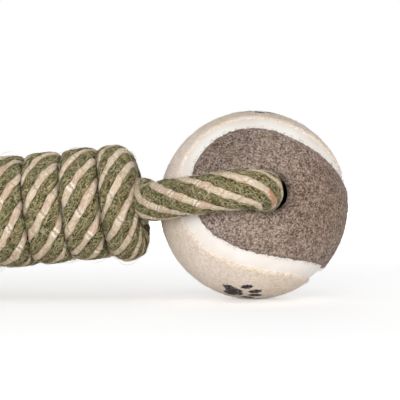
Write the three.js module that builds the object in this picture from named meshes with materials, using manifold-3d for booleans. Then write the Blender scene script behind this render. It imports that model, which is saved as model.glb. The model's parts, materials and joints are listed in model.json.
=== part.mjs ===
import * as THREE from "three";
import { mergeVertices } from "three/addons/utils/BufferGeometryUtils.js";
import Module from "manifold-3d";

// A rope dog toy. A felt covered rubber ball is threaded on a loop of thick rope. The rope is then
// wound round the loop's two legs as a grip, and past the grip the legs open into a hand loop.
// Millimetres. +Z is up, +X runs from the hand loop to the ball, and the toy lies on the plane z = 0.

const wasm = await Module();
wasm.setup();

// Rope
const ropeDiameter = 12;
const turnGap = 0.7;
const turnCount = 7;
const endGap = 0.3;

// Ball
const ballDiameter = 64;
const feltThickness = 2.4;
const shellThickness = 3.6;
const seatGap = 0.3;
const boreClearance = 1;
const feltMouthMargin = 0.8;
const boreHeadingDegrees = 15.7;
const boreRiseDegrees = 8.9;

// Seam between the two felt panels, a closed curve that swings over and under the ball
const seamWidth = 6.9;
const seamSinkDepth = 0.7;
const seamSwingShare = 0.26;
const seamRiseShare = 0.833;
const seamTurnDegrees = [30.8, -68.2, -91.8];

// Ball loop: where each leg passes round the ball, as a heading from the grip's side, a rise and a
// lift off the felt
const legLift = 0.6;
const backLegLift = 2;
const frontLegPlaces = [
  [26.1, 3.6, legLift], [35.2, 2.2, legLift], [44.9, 3.2, legLift], [55.6, 4.7, legLift],
  [68.8, 6.3, legLift],
];
const backLegPlaces = [
  [35.6, -5.2, backLegLift], [45.4, -3.8, legLift], [59.3, -5.3, legLift],
];
const mouthBendShare = 1.5;
const mouthStartShare = 1 / 3;
const mouthBendSteps = 4;

// Grip: seven turns round two legs, on a straight axis that rises towards the ball
const gripTiltDegrees = 6;
const gripToBallGap = 3.4;
const gripRise = 2.6;
const gripLeadIn = 9.6;
const gripLeadOut = 6.9;
const topLean = 2.2;
const topLeanSpreadShare = 0.25;

// Hand loop past the grip, lying on the floor on a worn flat
const handLoopLength = 95.4;
const handLoopWidth = 73;
const floorFlatShare = 0.1;
const neckPullShare = 0.58;
const handNeckPullShare = 0.4;

// One side of the hand loop: shares of its length, its half width and its drop to the floor
const handLoopShares = [
  [0.11, 0.34, 0.4], [0.23, 0.56, 0.7], [0.375, 0.81, 0.945], [0.52, 0.96, 1],
  [0.69, 1, 1], [0.85, 0.85, 1], [0.96, 0.49, 1], [1, 0, 1],
];

// Facets
const ballColumns = 40;
const ballRows = 20;
const coreColumns = 36;
const coreRows = 18;
const seamSteps = 76;
const mouthSides = 20;
const shellColumns = 28;
const shellRows = 8;
const turnSteps = 24;
const turnSides = 6;
const ropeSides = 10;
const ballLoopSteps = 44;
const neckSteps = 8;
const coreSteps = 3;
const handLoopSteps = 30;

// Colours and roughness shares of the materials
const ropeGreen = 0x6b6a48;
const feltPale = 0xd2c8bb;
const feltDark = 0x81736d;
const seamWhite = 0xebe6df;
const rubberBlack = 0x3a3735;
const clothRoughnessShare = 0.95;
const rubberRoughnessShare = 0.8;

// Vertices closer than this are one
const mergeReach = 0.0003;

// Worked out from the sizes above
const ballRadius = ballDiameter / 2;
const ropeRadius = ropeDiameter / 2;
const boreRadius = ropeRadius + boreClearance;
const feltInnerRadius = ballRadius - feltThickness;
const shellOuterRadius = feltInnerRadius - seatGap;
const shellInnerRadius = shellOuterRadius - shellThickness;
const ballCentre = new THREE.Vector3(0, 0, ballRadius);
const turnPitch = ropeDiameter + turnGap;
const wrapRadius = ropeDiameter + turnGap;
const legSpacing = ropeDiameter + turnGap;
const bendRadius = ropeRadius * mouthBendShare;
const floorRest = ropeRadius - ropeDiameter * floorFlatShare;
const gripLength = gripLeadIn + turnPitch * turnCount + gripLeadOut;

const boreAxis = new THREE.Vector3(0, -1, 0)
  .applyAxisAngle(new THREE.Vector3(-1, 0, 0), THREE.MathUtils.degToRad(boreRiseDegrees))
  .applyAxisAngle(new THREE.Vector3(0, 0, 1), THREE.MathUtils.degToRad(boreHeadingDegrees));

const toy = new THREE.Group();

function addPiece(name, geometry, colour, roughness) {
  geometry.computeVertexNormals();
  const material = new THREE.MeshStandardMaterial({ color: colour, roughness, metalness: 0 });
  const mesh = new THREE.Mesh(geometry, material);
  mesh.name = name;
  toy.add(mesh);
  return mesh;
}

function toSolid(geometry) {
  const bare = geometry.clone();
  bare.deleteAttribute("normal");
  bare.deleteAttribute("uv");
  const merged = mergeVertices(bare, mergeReach);
  return new wasm.Manifold(new wasm.Mesh({
    numProp: 3,
    vertProperties: new Float32Array(merged.attributes.position.array),
    triVerts: new Uint32Array(merged.index.array),
  }));
}

function toGeometry(solid) {
  const mesh = solid.getMesh();
  const geometry = new THREE.BufferGeometry();
  geometry.setAttribute("position", new THREE.BufferAttribute(mesh.vertProperties, 3));
  geometry.setIndex(new THREE.BufferAttribute(mesh.triVerts, 1));
  return geometry;
}

// A closed tube or ring from a list of rings, each a list of points in the same order
function skinRings(rings, joined) {
  const sides = rings[0].length;
  const positions = rings.flat().flatMap((point) => point.toArray());
  const triangles = [];
  const spans = joined ? rings.length : rings.length - 1;
  for (let ring = 0; ring < spans; ring += 1) {
    const next = (ring + 1) % rings.length;
    for (let side = 0; side < sides; side += 1) {
      const across = (side + 1) % sides;
      const a = ring * sides + side;
      const b = ring * sides + across;
      const c = next * sides + across;
      const d = next * sides + side;
      triangles.push(a, b, c, a, c, d);
    }
  }
  if (!joined) {
    const last = (rings.length - 1) * sides;
    for (let side = 1; side < sides - 1; side += 1) {
      triangles.push(0, side + 1, side);
      triangles.push(last, last + side, last + side + 1);
    }
  }
  const geometry = new THREE.BufferGeometry();
  geometry.setAttribute("position", new THREE.Float32BufferAttribute(positions, 3));
  geometry.setIndex(triangles);
  return geometry;
}

function roundSection(radius, sides) {
  const corners = [];
  for (let side = 0; side < sides; side += 1) {
    const angle = (2 * Math.PI * side) / sides;
    corners.push(new THREE.Vector2(radius * Math.cos(angle), radius * Math.sin(angle)));
  }
  return new THREE.Shape(corners);
}

function ropeStretch(points, steps) {
  return new THREE.ExtrudeGeometry(roundSection(ropeRadius, ropeSides), {
    steps,
    extrudePath: ropeCurve(points),
  });
}

// A bent stretch that leaves one face straight and meets the next face straight
function neckStretch(from, fromWay, to, toWay, pullShare) {
  const start = from.clone().addScaledVector(fromWay, endGap);
  const end = to.clone().addScaledVector(toWay, -endGap);
  const pull = start.distanceTo(end) * pullShare;
  const curve = new THREE.CubicBezierCurve3(
    start,
    start.clone().addScaledVector(fromWay, pull),
    end.clone().addScaledVector(toWay, -pull),
    end);
  return new THREE.ExtrudeGeometry(roundSection(ropeRadius, ropeSides), {
    steps: neckSteps,
    extrudePath: curve,
  });
}

function ropeCurve(points) {
  return new THREE.CatmullRomCurve3(points, false, "centripetal");
}

function mirrored(point) {
  return new THREE.Vector3(point.x, -point.y, point.z);
}

// Ball: two rubber half shells, glued at the equator that lies square to the bore
function shellHalf(side) {
  const profile = [];
  const joint = seatGap / 2;
  const arc = (radius, from, to) => {
    for (let row = 0; row <= shellRows; row += 1) {
      const angle = THREE.MathUtils.lerp(from, to, row / shellRows);
      profile.push(new THREE.Vector2(radius * Math.cos(angle), radius * Math.sin(angle)));
    }
  };
  const lowAngle = (radius) => Math.asin(joint / radius);
  const highAngle = (radius) => Math.acos(boreRadius / radius);
  arc(shellOuterRadius, lowAngle(shellOuterRadius), highAngle(shellOuterRadius));
  arc(shellInnerRadius, highAngle(shellInnerRadius), lowAngle(shellInnerRadius));
  profile.push(profile[0].clone());
  const geometry = new THREE.LatheGeometry(profile, shellColumns);
  const direction = boreAxis.clone().multiplyScalar(side);
  geometry.applyQuaternion(
    new THREE.Quaternion().setFromUnitVectors(new THREE.Vector3(0, 1, 0), direction));
  return geometry;
}

// Seam curve on the unit sphere, with the direction along it and the direction across it
function seamFrame(share) {
  const place = (value) => {
    const t = 2 * Math.PI * value;
    const straight = 1 - seamSwingShare;
    return new THREE.Vector3(
      straight * Math.cos(t) + seamSwingShare * Math.cos(3 * t),
      straight * Math.sin(t) - seamSwingShare * Math.sin(3 * t),
      seamRiseShare * Math.sin(2 * t)).normalize();
  };
  const nearShare = 0.001;
  const out = place(share);
  const along = place(share + nearShare).sub(place(share - nearShare)).normalize();
  const across = new THREE.Vector3().crossVectors(out, along);
  return { out, across };
}

function seamBand(width, lowRadius, highRadius) {
  const turn = new THREE.Quaternion().setFromEuler(
    new THREE.Euler(...seamTurnDegrees.map(THREE.MathUtils.degToRad), "XYZ"));
  const halfAngle = width / 2 / ballRadius;
  const rings = [];
  for (let step = 0; step < seamSteps; step += 1) {
    const { out, across } = seamFrame(step / seamSteps);
    const edge = (side, radius) => out.clone().multiplyScalar(Math.cos(side * halfAngle))
      .addScaledVector(across, Math.sin(side * halfAngle))
      .multiplyScalar(radius)
      .applyQuaternion(turn);
    rings.push([
      edge(-1, lowRadius), edge(0, lowRadius), edge(1, lowRadius),
      edge(1, highRadius), edge(0, highRadius), edge(-1, highRadius),
    ]);
  }
  return skinRings(rings, true);
}

function makeBall() {
  const outer = new THREE.SphereGeometry(ballRadius, ballColumns, ballRows);
  const inner = new THREE.SphereGeometry(feltInnerRadius, coreColumns, coreRows);
  for (const sphere of [outer, inner]) {
    sphere.rotateX(Math.PI / 2);
  }
  const mouth = new THREE.CylinderGeometry(
    boreRadius + feltMouthMargin, boreRadius + feltMouthMargin, 2 * ballDiameter, mouthSides);
  mouth.applyQuaternion(
    new THREE.Quaternion().setFromUnitVectors(new THREE.Vector3(0, 1, 0), boreAxis));
  const cutter = seamBand(
    seamWidth + 2 * seatGap, feltInnerRadius - feltThickness, ballRadius + feltThickness);
  const panels = toSolid(outer)
    .subtract(toSolid(inner))
    .subtract(toSolid(mouth))
    .subtract(toSolid(cutter))
    .decompose()
    .sort((a, b) => b.volume() - a.volume());
  // The dark panel is the one whose matter leans towards the bore's front mouth
  const lean = (panel) => {
    const box = panel.boundingBox();
    return (box.min[1] + box.max[1]) / 2;
  };
  const [darkPanel, lightPanel] = panels.slice(0, 2).sort((a, b) => lean(a) - lean(b));
  addPiece("felt_panel_dark", toGeometry(darkPanel), feltDark, clothRoughnessShare);
  addPiece("felt_panel_light", toGeometry(lightPanel), feltPale, clothRoughnessShare);
  const seam = seamBand(seamWidth, feltInnerRadius, ballRadius - seamSinkDepth);
  addPiece("seam_strip", seam, seamWhite, rubberRoughnessShare);
  addPiece("rubber_half_front", shellHalf(1), rubberBlack, rubberRoughnessShare);
  addPiece("rubber_half_back", shellHalf(-1), rubberBlack, rubberRoughnessShare);
  for (const piece of toy.children) {
    piece.position.copy(ballCentre);
  }
}

// Grip: the core legs lie side by side along the axis, and the turns go round both as one tube
const gripEnd = new THREE.Vector3(-ballRadius - gripToBallGap, 0, ballRadius + gripRise);
const gripAlong = new THREE.Vector3(-1, 0, 0)
  .applyAxisAngle(new THREE.Vector3(0, -1, 0), THREE.MathUtils.degToRad(gripTiltDegrees));
const gripAcross = new THREE.Vector3(0, 1, 0);
const gripUp = new THREE.Vector3().crossVectors(gripAcross, gripAlong);

function gripPlace(distance, sideways, outward) {
  return gripEnd.clone()
    .addScaledVector(gripAlong, distance)
    .addScaledVector(gripAcross, sideways)
    .addScaledVector(gripUp, outward);
}

// A point of the turn round the two legs, for a share of a turn counted from the middle of the top
function turnPoint(share) {
  const straight = legSpacing;
  const arc = Math.PI * wrapRadius;
  const run = (share - Math.floor(share)) * 2 * (straight + arc);
  if (run < straight / 2) {
    return [-run, wrapRadius];
  }
  if (run < straight / 2 + arc) {
    const angle = (run - straight / 2) / wrapRadius;
    return [-straight / 2 - wrapRadius * Math.sin(angle), wrapRadius * Math.cos(angle)];
  }
  if (run < straight * 1.5 + arc) {
    return [run - straight - arc, -wrapRadius];
  }
  if (run < straight * 1.5 + 2 * arc) {
    const angle = (run - straight * 1.5 - arc) / wrapRadius;
    return [straight / 2 + wrapRadius * Math.sin(angle), -wrapRadius * Math.cos(angle)];
  }
  return [2 * (straight + arc) - run, wrapRadius];
}

// The turns are counted from the ball's end. The rope leaves its last turn at the bottom, where it
// runs straight back under the legs, and the first turn's top leans towards the ball.
function windingCentres() {
  const centres = [];
  for (let step = 0; step <= turnCount * turnSteps; step += 1) {
    const turns = step / turnSteps;
    const [sideways, outward] = turnPoint(0.5 - turns);
    const lean = topLean * Math.exp(-(((turns - 0.5) / topLeanSpreadShare) ** 2));
    centres.push(gripPlace(gripLeadIn + turnPitch * turns - lean, sideways, outward));
  }
  const runOut = (near, far) => near.clone()
    .addScaledVector(near.clone().sub(far).normalize(), ropeDiameter);
  centres.unshift(runOut(centres[0], centres[1]));
  centres.push(runOut(centres[centres.length - 1], centres[centres.length - 2]));
  return centres;
}

function tubeRings(centres, radius, sides) {
  const rings = [];
  let spoke = new THREE.Vector3(1, 0, 0);
  centres.forEach((centre, index) => {
    const before = centres[Math.max(index - 1, 0)];
    const after = centres[Math.min(index + 1, centres.length - 1)];
    const along = after.clone().sub(before).normalize();
    spoke = spoke.clone().addScaledVector(along, -spoke.dot(along)).normalize();
    const wing = new THREE.Vector3().crossVectors(along, spoke);
    const ring = [];
    for (let side = 0; side < sides; side += 1) {
      const angle = (2 * Math.PI * side) / sides;
      ring.push(centre.clone()
        .addScaledVector(spoke, radius * Math.cos(angle))
        .addScaledVector(wing, radius * Math.sin(angle)));
    }
    rings.push(ring);
  });
  return rings;
}

// Least gap between two stretches of one tube that lie at least a rope's bend apart along it,
// measured on points
function leastGapToItself(centres) {
  const curve = ropeCurve(centres);
  const spacing = ropeDiameter / 12;
  const points = curve.getSpacedPoints(Math.round(curve.getLength() / spacing));
  const skip = Math.round((3 * ropeDiameter) / spacing);
  let least = Infinity;
  for (let near = 0; near < points.length; near += 1) {
    for (let far = near + skip; far < points.length; far += 1) {
      least = Math.min(least, points[near].distanceTo(points[far]));
    }
  }
  return least - ropeDiameter;
}

// Ball loop: straight through the bore, a close bend at each mouth, then round the ball
function legPlace(side, [heading, rise, lift]) {
  const turn = THREE.MathUtils.degToRad(heading);
  const climb = THREE.MathUtils.degToRad(rise);
  const reach = ballRadius + ropeRadius + lift;
  return new THREE.Vector3(
    -Math.cos(turn) * Math.cos(climb), side * Math.sin(turn) * Math.cos(climb), Math.sin(climb))
    .multiplyScalar(reach)
    .add(ballCentre);
}

function mouthBend(side, towards) {
  const out = boreAxis.clone().multiplyScalar(side);
  const start = ballRadius - ropeRadius * mouthStartShare;
  const sideways = towards.clone().sub(ballCentre);
  sideways.addScaledVector(out, -sideways.dot(out)).normalize();
  const points = [ballCentre.clone().addScaledVector(out, start - bendRadius)];
  for (let step = 0; step <= mouthBendSteps; step += 1) {
    const angle = (Math.PI / 2) * (step / mouthBendSteps);
    points.push(ballCentre.clone()
      .addScaledVector(out, start + bendRadius * Math.sin(angle))
      .addScaledVector(sideways, bendRadius * (1 - Math.cos(angle))));
  }
  return points;
}

function ballLoopCentres() {
  const frontLeg = frontLegPlaces.map((place) => legPlace(-1, place));
  const backLeg = backLegPlaces.map((place) => legPlace(1, place));
  return [
    ...frontLeg,
    ...mouthBend(1, frontLeg[frontLeg.length - 1]).reverse(),
    ...mouthBend(-1, backLeg[backLeg.length - 1]),
    ...backLeg.reverse(),
  ];
}

function handLoopCentres() {
  const start = gripPlace(gripLength, 0, 0);
  const half = handLoopShares.map(([length, width, drop]) => new THREE.Vector3(
    start.x - length * handLoopLength,
    (width * handLoopWidth) / 2,
    THREE.MathUtils.lerp(start.z, floorRest, drop)));
  return [...half, ...half.slice(0, -1).map(mirrored).reverse()];
}

function addRope(name, geometry) {
  addPiece(name, geometry, ropeGreen, clothRoughnessShare);
}

function makeRope() {
  const winding = windingCentres();
  console.log(`least gap of the winding to itself: ${leastGapToItself(winding).toFixed(2)} mm`);
  addRope("grip_winding", skinRings(tubeRings(winding, ropeRadius, turnSides), false));

  const ballLoop = ballLoopCentres();
  addRope("ball_loop", ropeStretch(ballLoop, ballLoopSteps));

  // The front leg runs on into the grip, and the back leg is what the turns are wound with
  const side = legSpacing / 2;
  const coreFront = [gripPlace(gripLeadIn, -side, 0), gripPlace(gripLength, -side, 0)];
  const coreBack = [gripPlace(gripLeadIn + ropeRadius, side, 0), gripPlace(gripLength, side, 0)];
  addRope("core_leg_front", ropeStretch(coreFront, coreSteps));
  addRope("core_leg_back", ropeStretch(coreBack, coreSteps));

  const loopCurve = ropeCurve(ballLoop);
  const towardsBall = gripAlong.clone().negate();
  const windingWay = winding[0].clone().sub(winding[1]).normalize();
  const loopEnd = ballLoop[ballLoop.length - 1];
  addRope("front_neck", neckStretch(
    coreFront[0], towardsBall, ballLoop[0], loopCurve.getTangent(0), neckPullShare));
  addRope("back_neck", neckStretch(
    winding[0], windingWay, loopEnd, loopCurve.getTangent(1).negate(), neckPullShare));

  const handLoop = handLoopCentres();
  const floorSize = 4 * (handLoopLength + handLoopWidth);
  const floor = new THREE.BoxGeometry(floorSize, floorSize, floorSize);
  floor.translate(0, 0, -floorSize / 2);
  const handSolid = toSolid(ropeStretch(handLoop, handLoopSteps)).subtract(toSolid(floor));
  addRope("hand_loop", toGeometry(handSolid));

  const handStart = handLoop[0];
  const handWay = ropeCurve(handLoop).getTangent(0);
  addRope("hand_neck_back", neckStretch(
    coreBack[1], gripAlong, handStart, handWay, handNeckPullShare));
  addRope("hand_neck_front", neckStretch(
    coreFront[1], gripAlong, mirrored(handStart), mirrored(handWay), handNeckPullShare));
}

makeBall();
makeRope();

// The origin is the middle of the toy's box, on the floor
const box = new THREE.Box3().setFromObject(toy);
for (const piece of toy.children) {
  piece.position.x -= (box.min.x + box.max.x) / 2;
  piece.position.y -= (box.min.y + box.max.y) / 2;
}

export default toy;
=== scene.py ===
import bpy
import bmesh
import json
import math
import numpy as np
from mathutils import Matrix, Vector


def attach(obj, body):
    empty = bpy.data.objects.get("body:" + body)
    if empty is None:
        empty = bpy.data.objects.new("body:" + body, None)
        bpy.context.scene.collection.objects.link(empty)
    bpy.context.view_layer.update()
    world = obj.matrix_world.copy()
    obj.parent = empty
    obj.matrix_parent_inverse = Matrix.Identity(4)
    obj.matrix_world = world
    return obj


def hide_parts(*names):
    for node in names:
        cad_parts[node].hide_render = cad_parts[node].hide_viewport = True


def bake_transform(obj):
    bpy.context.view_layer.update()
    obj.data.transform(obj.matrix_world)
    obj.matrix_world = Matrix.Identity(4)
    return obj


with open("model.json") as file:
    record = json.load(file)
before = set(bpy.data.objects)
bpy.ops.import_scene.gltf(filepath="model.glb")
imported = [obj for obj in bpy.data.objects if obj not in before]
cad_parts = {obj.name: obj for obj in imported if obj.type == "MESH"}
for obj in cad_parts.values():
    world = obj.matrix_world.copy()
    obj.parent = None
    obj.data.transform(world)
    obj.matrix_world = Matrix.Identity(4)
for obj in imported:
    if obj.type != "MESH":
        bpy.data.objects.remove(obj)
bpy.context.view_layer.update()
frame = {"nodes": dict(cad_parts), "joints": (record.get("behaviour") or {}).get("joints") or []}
joints = {joint["name"]: joint for joint in frame["joints"]}
mm = 0.001


def unit(vector):
    return vector / np.linalg.norm(vector)


def ontoUnit(vectors):
    return vectors / np.linalg.norm(vectors, axis=-1)[..., None]


# the camera looks level from the front, a little from the right
camera = {"azimuth": 5, "elevation": 1, "distance": 600, "lens": 158.4, "sensor": 36,
          "clip": (0.02, 20),  # metres
          "ballRight": 18.24, "ballDown": 1.7}  # where the ball's middle sits in the picture

ballCentre = np.array(joints["ball_spin"]["pos_m"]) / mm  # millimetres from here on
boreAxis = unit(np.array(joints["ball_spin"]["axis"]))
# the ropes lean this way in the ball's holes
mouthWay = unit(np.array([-1, 0, 0]) + boreAxis * boreAxis[0])


def viewAxes():
    a, e = math.radians(camera["azimuth"]), math.radians(camera["elevation"])
    back = np.array([math.sin(a) * math.cos(e), -math.cos(a) * math.cos(e), math.sin(e)])
    right = np.array([math.cos(a), math.sin(a), 0])
    return np.array([right, np.cross(back, right), back])


# the picture's right, its up, and the way to the camera
fromView = viewAxes()
viewRight, viewUp, viewBack = fromView


def link(name, data):
    made = bpy.data.objects.new(name, data)
    bpy.context.scene.collection.objects.link(made)
    return made


def gridOf(columns, rows, places):
    # a grid laid on places, metres, row by row
    bm = bmesh.new()
    bmesh.ops.create_grid(bm, x_segments=columns, y_segments=rows, size=1)
    for vert, place in zip(bm.verts, places):
        vert.co = place
    return bm


def meshFrom(name, bm):
    mesh = bpy.data.meshes.new(name)
    bm.to_mesh(mesh)
    bm.free()
    return mesh


def aimed(name, data, place, way):
    # a camera or a lamp at a place, metres, that points along a direction
    holder = link(name, data)
    holder.location = Vector(place)
    holder.rotation_euler = Vector(way).to_track_quat("-Z", "Y").to_euler()
    return holder


def makeCamera():
    aim = ballCentre - viewRight * camera["ballRight"] + viewUp * camera["ballDown"]
    lens = bpy.data.cameras.new("pictureCamera")
    lens.lens, lens.sensor_width = camera["lens"], camera["sensor"]
    lens.clip_start, lens.clip_end = camera["clip"]
    bpy.context.scene.camera = aimed("pictureCamera", lens,
                                     (aim + viewBack * camera["distance"]) * mm, -viewBack)


makeCamera()
print("camera placed")

rope = {
    "diameter": 12, "turnGap": 0.7, "turns": 7,
    "ballRadius": 32, "bendRadius": 9, "mouthStart": 30,
    "frontLeg": [(26.1, 3.6, 0.6), (35.2, 2.2, 0.6), (44.9, 3.2, 0.6), (55.6, 4.7, 0.6),
                 (68.8, 6.3, 0.6)],  # heading, rise, lift off the felt
    "backLeg": [(31, 1.6, 2), (42.5, 0.4, 1.4)],
    "gripStart": (-35.4, 0, 2.6),  # from the ball's middle
    "gripTilt": 6, "leadIn": 9.6, "leadOut": 6.9,
    "turnLean": 5.4, "turnShift": 0.7,  # how far each turn leans to the ball at its top
    "firstLeans": [(0.5, -2.2, 0.1), (0.77, 4.4, 0.12)],  # turn, extra lean, spread
    "firstSinks": [(0.7, 2.6, 0.13), (0, 2.0, 0.14)],  # turn, how far the rope sinks, spread
    "earlyStart": 0.2,  # share of a turn that comes down behind first
    "startLean": 16,
    "mouthShift": 1.9, "mouthSqueeze": 0.2,
    "squeezeZone": (42, 6, 12, 5),  # along the bore and off it, each with its fade
    "wornSpot": (5.5, 3.0, 2.5),  # right of and above the ball's middle, radius
    "handLength": 95.4, "handWidth": 73, "floorRest": 4.8, "flatUnder": 0.9,
    "handShares": [(0.11, 0.34, 0.4), (0.23, 0.56, 0.7), (0.375, 0.81, 0.945), (0.52, 0.96, 1),
                   (0.69, 1, 1), (0.85, 0.85, 1), (0.96, 0.49, 1), (1, 0, 1)],
    "neckPull": 0.58, "backNeckPull": 0.52, "handNeckPull": 0.4,
    "coreReach": 30,  # how far a loop's end runs into the grip
}
pitch = rope["diameter"] + rope["turnGap"]
ropeRadius = rope["diameter"] / 2
gripLength = rope["leadIn"] + pitch * rope["turns"] + rope["leadOut"]
tilt = math.radians(rope["gripTilt"])
gripAlong = np.array([-math.cos(tilt), 0, -math.sin(tilt)])
gripAcross = np.array([0.0, 1, 0])
gripUp = np.cross(gripAcross, gripAlong)
gripStart = ballCentre + np.array(rope["gripStart"])


def gripPlace(distance, sideways, outward):
    return gripStart + gripAlong * distance + gripAcross * sideways + gripUp * outward


def smoothCurve(points, steps=24):
    # centripetal Catmull-Rom through all the points
    p = np.array(points, float)
    p = np.vstack([2 * p[0] - p[1], p, 2 * p[-1] - p[-2]])
    reach = np.sqrt(np.linalg.norm(np.diff(p, axis=0), axis=1))[:, None]
    slope = np.diff(p, axis=0) / reach
    ways = slope[:-1] - (p[2:] - p[:-2]) / (reach[:-1] + reach[1:]) + slope[1:]
    t = np.linspace(0, 1, steps, endpoint=False)[:, None]
    made = []
    for k in range(1, len(p) - 2):
        a, b = ways[k - 1] * reach[k], ways[k] * reach[k]
        made.append(p[k] + a * t + (-3 * p[k] + 3 * p[k + 1] - 2 * a - b) * t ** 2
                    + (2 * p[k] - 2 * p[k + 1] + a + b) * t ** 3)
    return np.vstack(made + [p[-2][None]])


def neckCurve(before, after, pull, steps=24):
    # from the end of one line into the start of the next
    start, end = before[-1], after[0]
    reach = np.linalg.norm(end - start) * pull
    out = start + unit(start - before[-2]) * reach
    home = end - unit(after[1] - end) * reach
    t = np.linspace(0, 1, steps)[1:-1, None]
    return ((1 - t) ** 3 * start + 3 * (1 - t) ** 2 * t * out + 3 * (1 - t) * t ** 2 * home
            + t ** 3 * end)


def turnPoint(share):
    # round both legs, counted from the middle of the top towards the front, in two like halves
    half = -1 if share % 1 < 0.5 else 1
    run = share % 0.5 * 2 * (1 + math.pi)
    angle = min(max(run - 0.5, 0), math.pi)
    sideways = min(run, 0.5) + math.sin(angle) - max(run - 0.5 - math.pi, 0)
    return half * sideways * pitch, -half * math.cos(angle) * pitch


def nearTurn(turns, places):
    # the amounts of a list of places on the winding, each fading with its spread
    return sum(amount * math.exp(-((turns - at) / spread) ** 2) for at, amount, spread in places)


def windingRoute(steps=48):
    made = []
    for step in range(-int(rope["earlyStart"] * steps), rope["turns"] * steps + 1):
        turns = step / steps
        sideways, outward = turnPoint(0.5 - turns)
        lean = rope["turnShift"] + rope["turnLean"] * abs(math.sin(math.pi * turns)) ** 1.2
        if turns < 0:
            lean = rope["turnShift"] + rope["startLean"] * turns
        lean += nearTurn(turns, rope["firstLeans"])
        sink = nearTurn(turns, rope["firstSinks"])
        made.append(gripPlace(rope["leadIn"] + pitch * turns - lean, sideways, outward - sink))
    last = made[-1] + unit(made[-1] - made[-2]) * rope["diameter"]
    return np.array(made + [last])


def legPlace(side, place):
    heading, rise = math.radians(place[0]), math.radians(place[1])
    reach = rope["ballRadius"] + ropeRadius + place[2]
    return ballCentre + reach * np.array([-math.cos(heading) * math.cos(rise),
                                          side * math.sin(heading) * math.cos(rise),
                                          math.sin(rise)])


def mouthBend(side, towards):
    out = boreAxis * side
    sideways = towards - ballCentre
    sideways = unit(sideways - out * (sideways @ out))
    start = ballCentre + sideways * rope["mouthShift"]
    made = [start + out * (rope["mouthStart"] - rope["bendRadius"])]
    for angle in np.linspace(0, math.pi / 2, 5):
        made.append(start + out * (rope["mouthStart"] + rope["bendRadius"] * math.sin(angle))
                    + sideways * rope["bendRadius"] * (1 - math.cos(angle)))
    return made


def ballLoopPoints():
    front = [legPlace(-1, place) for place in rope["frontLeg"]]
    back = [legPlace(1, place) for place in rope["backLeg"]]
    return (front + mouthBend(1, front[-1])[::-1] + mouthBend(-1, back[-1]) + back[::-1])


def handLoopPoints():
    start = gripPlace(gripLength, 0, 0)
    half = [np.array([start[0] - along * rope["handLength"],
                      start[1] + across * rope["handWidth"] / 2,
                      start[2] + (rope["floorRest"] - start[2]) * drop])
            for along, across, drop in rope["handShares"]]
    mirrored = [np.array([p[0], 2 * start[1] - p[1], p[2]]) for p in half[:-1]]
    return half + mirrored[::-1]


def evenly(points, spacing):
    # the same line with evenly spaced points, its corners eased
    length = np.r_[0, np.cumsum(np.linalg.norm(np.diff(points, axis=0), axis=1))]
    count = int(round(length[-1] / spacing)) + 1
    at = np.linspace(0, length[-1], count)
    line = np.stack([np.interp(at, length, points[:, k]) for k in range(3)], 1)
    for _ in range(24):
        line[1:-1] = (line[:-2] + 2 * line[1:-1] + line[2:]) / 4
    return line


def coreLine(first, last, side, count):
    # straight through the grip, beside its middle
    return np.linspace(*(gripPlace(at, side * pitch / 2, 0) for at in (first, last)), count)


def ballRopeRoute():
    core = coreLine(rope["leadIn"] + rope["coreReach"], rope["leadIn"], -1, 40)
    loop, winding = smoothCurve(ballLoopPoints()), windingRoute()
    return [core, neckCurve(core, loop, rope["neckPull"]), loop,
            neckCurve(loop, winding, rope["backNeckPull"])], winding


def handRopeRoute():
    back = coreLine(rope["leadIn"] + ropeRadius, gripLength, 1, 100)
    loop = smoothCurve(handLoopPoints())
    front = coreLine(gripLength, rope["leadIn"] + rope["coreReach"], -1, 80)
    pull = rope["handNeckPull"]
    return [back, neckCurve(back, loop, pull), loop, neckCurve(loop, front, pull), front]


lay = {
    "radius": 6.35, "pairs": 5, "beigeShare": 0.41,  # a pair is a wide green and a narrow beige
    "greenSides": 12, "beigeSides": 8, "greenPower": 3.2, "beigePower": 2.2,
    "grooveDepth": 0.8, "beigeSink": 0.03, "edgeWander": 0.03,
    "plyPitch": 4.1, "plySlant": 0.85, "plyShift": 0.37, "plyDepth": 0.3, "plyStep": 0.1,
    "unevenness": 0.14, "woolliness": 0.13, "swell": 0.08,
    "spacing": 0.8, "squareness": 1.4, "widened": 0.05,
    "pressFrom": 30, "pressOver": 110,  # where the turns begin to press, from the first
    "darkFrom": 0.72, "darkOver": 0.24,  # how far a corner faces the next turn
    # a mark on the rope, how far past it, and how far a strand takes there to go round once
    "stations": [("loopStart", -20, 60), ("loopStart", 0, 69), ("mouth", -13, 69),
                 ("mouth", -6, 40), ("mouth", 6, 40), ("mouth", 13, 61.8),
                 ("loopEnd", -5, 61.8), ("loopEnd", 8, 80), ("wound", 0, 80), ("wound", 14, 40),
                 ("wound", 160, 40), ("wound", 166, 41.9), ("wound", 246, 41.9),
                 ("wound", 252, 40)],
    "handLay": 50, "handTurn": 0.3, "handMapStart": 1500, "endDome": 2.5, "handDome": 3,
}
random = np.random.default_rng(41)
print("route worked out")


def ropeRun(line, layLength, startTurn=0.0):
    # the rope's line with the two directions across it, and how far its lay has turned
    step = np.linalg.norm(np.diff(line, axis=0), axis=1)
    at = np.r_[0, np.cumsum(step)]
    way = ontoUnit(np.gradient(line, axis=0))
    spoke, spokes = np.array([0.3, 0, 1]), []
    for direction in way:
        spoke = unit(spoke - direction * (spoke @ direction))
        spokes.append(spoke)
    spokes = np.array(spokes)
    stations, lengths = zip(*layLength)
    rate = 1 / np.interp(at, stations, lengths)
    turn = startTurn + np.r_[0, np.cumsum(step * (rate[1:] + rate[:-1]) / 2)]
    return {"line": line, "at": at, "way": way, "spoke": spokes, "wing": np.cross(way, spokes),
            "turn": turn * 2 * math.pi}


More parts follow.
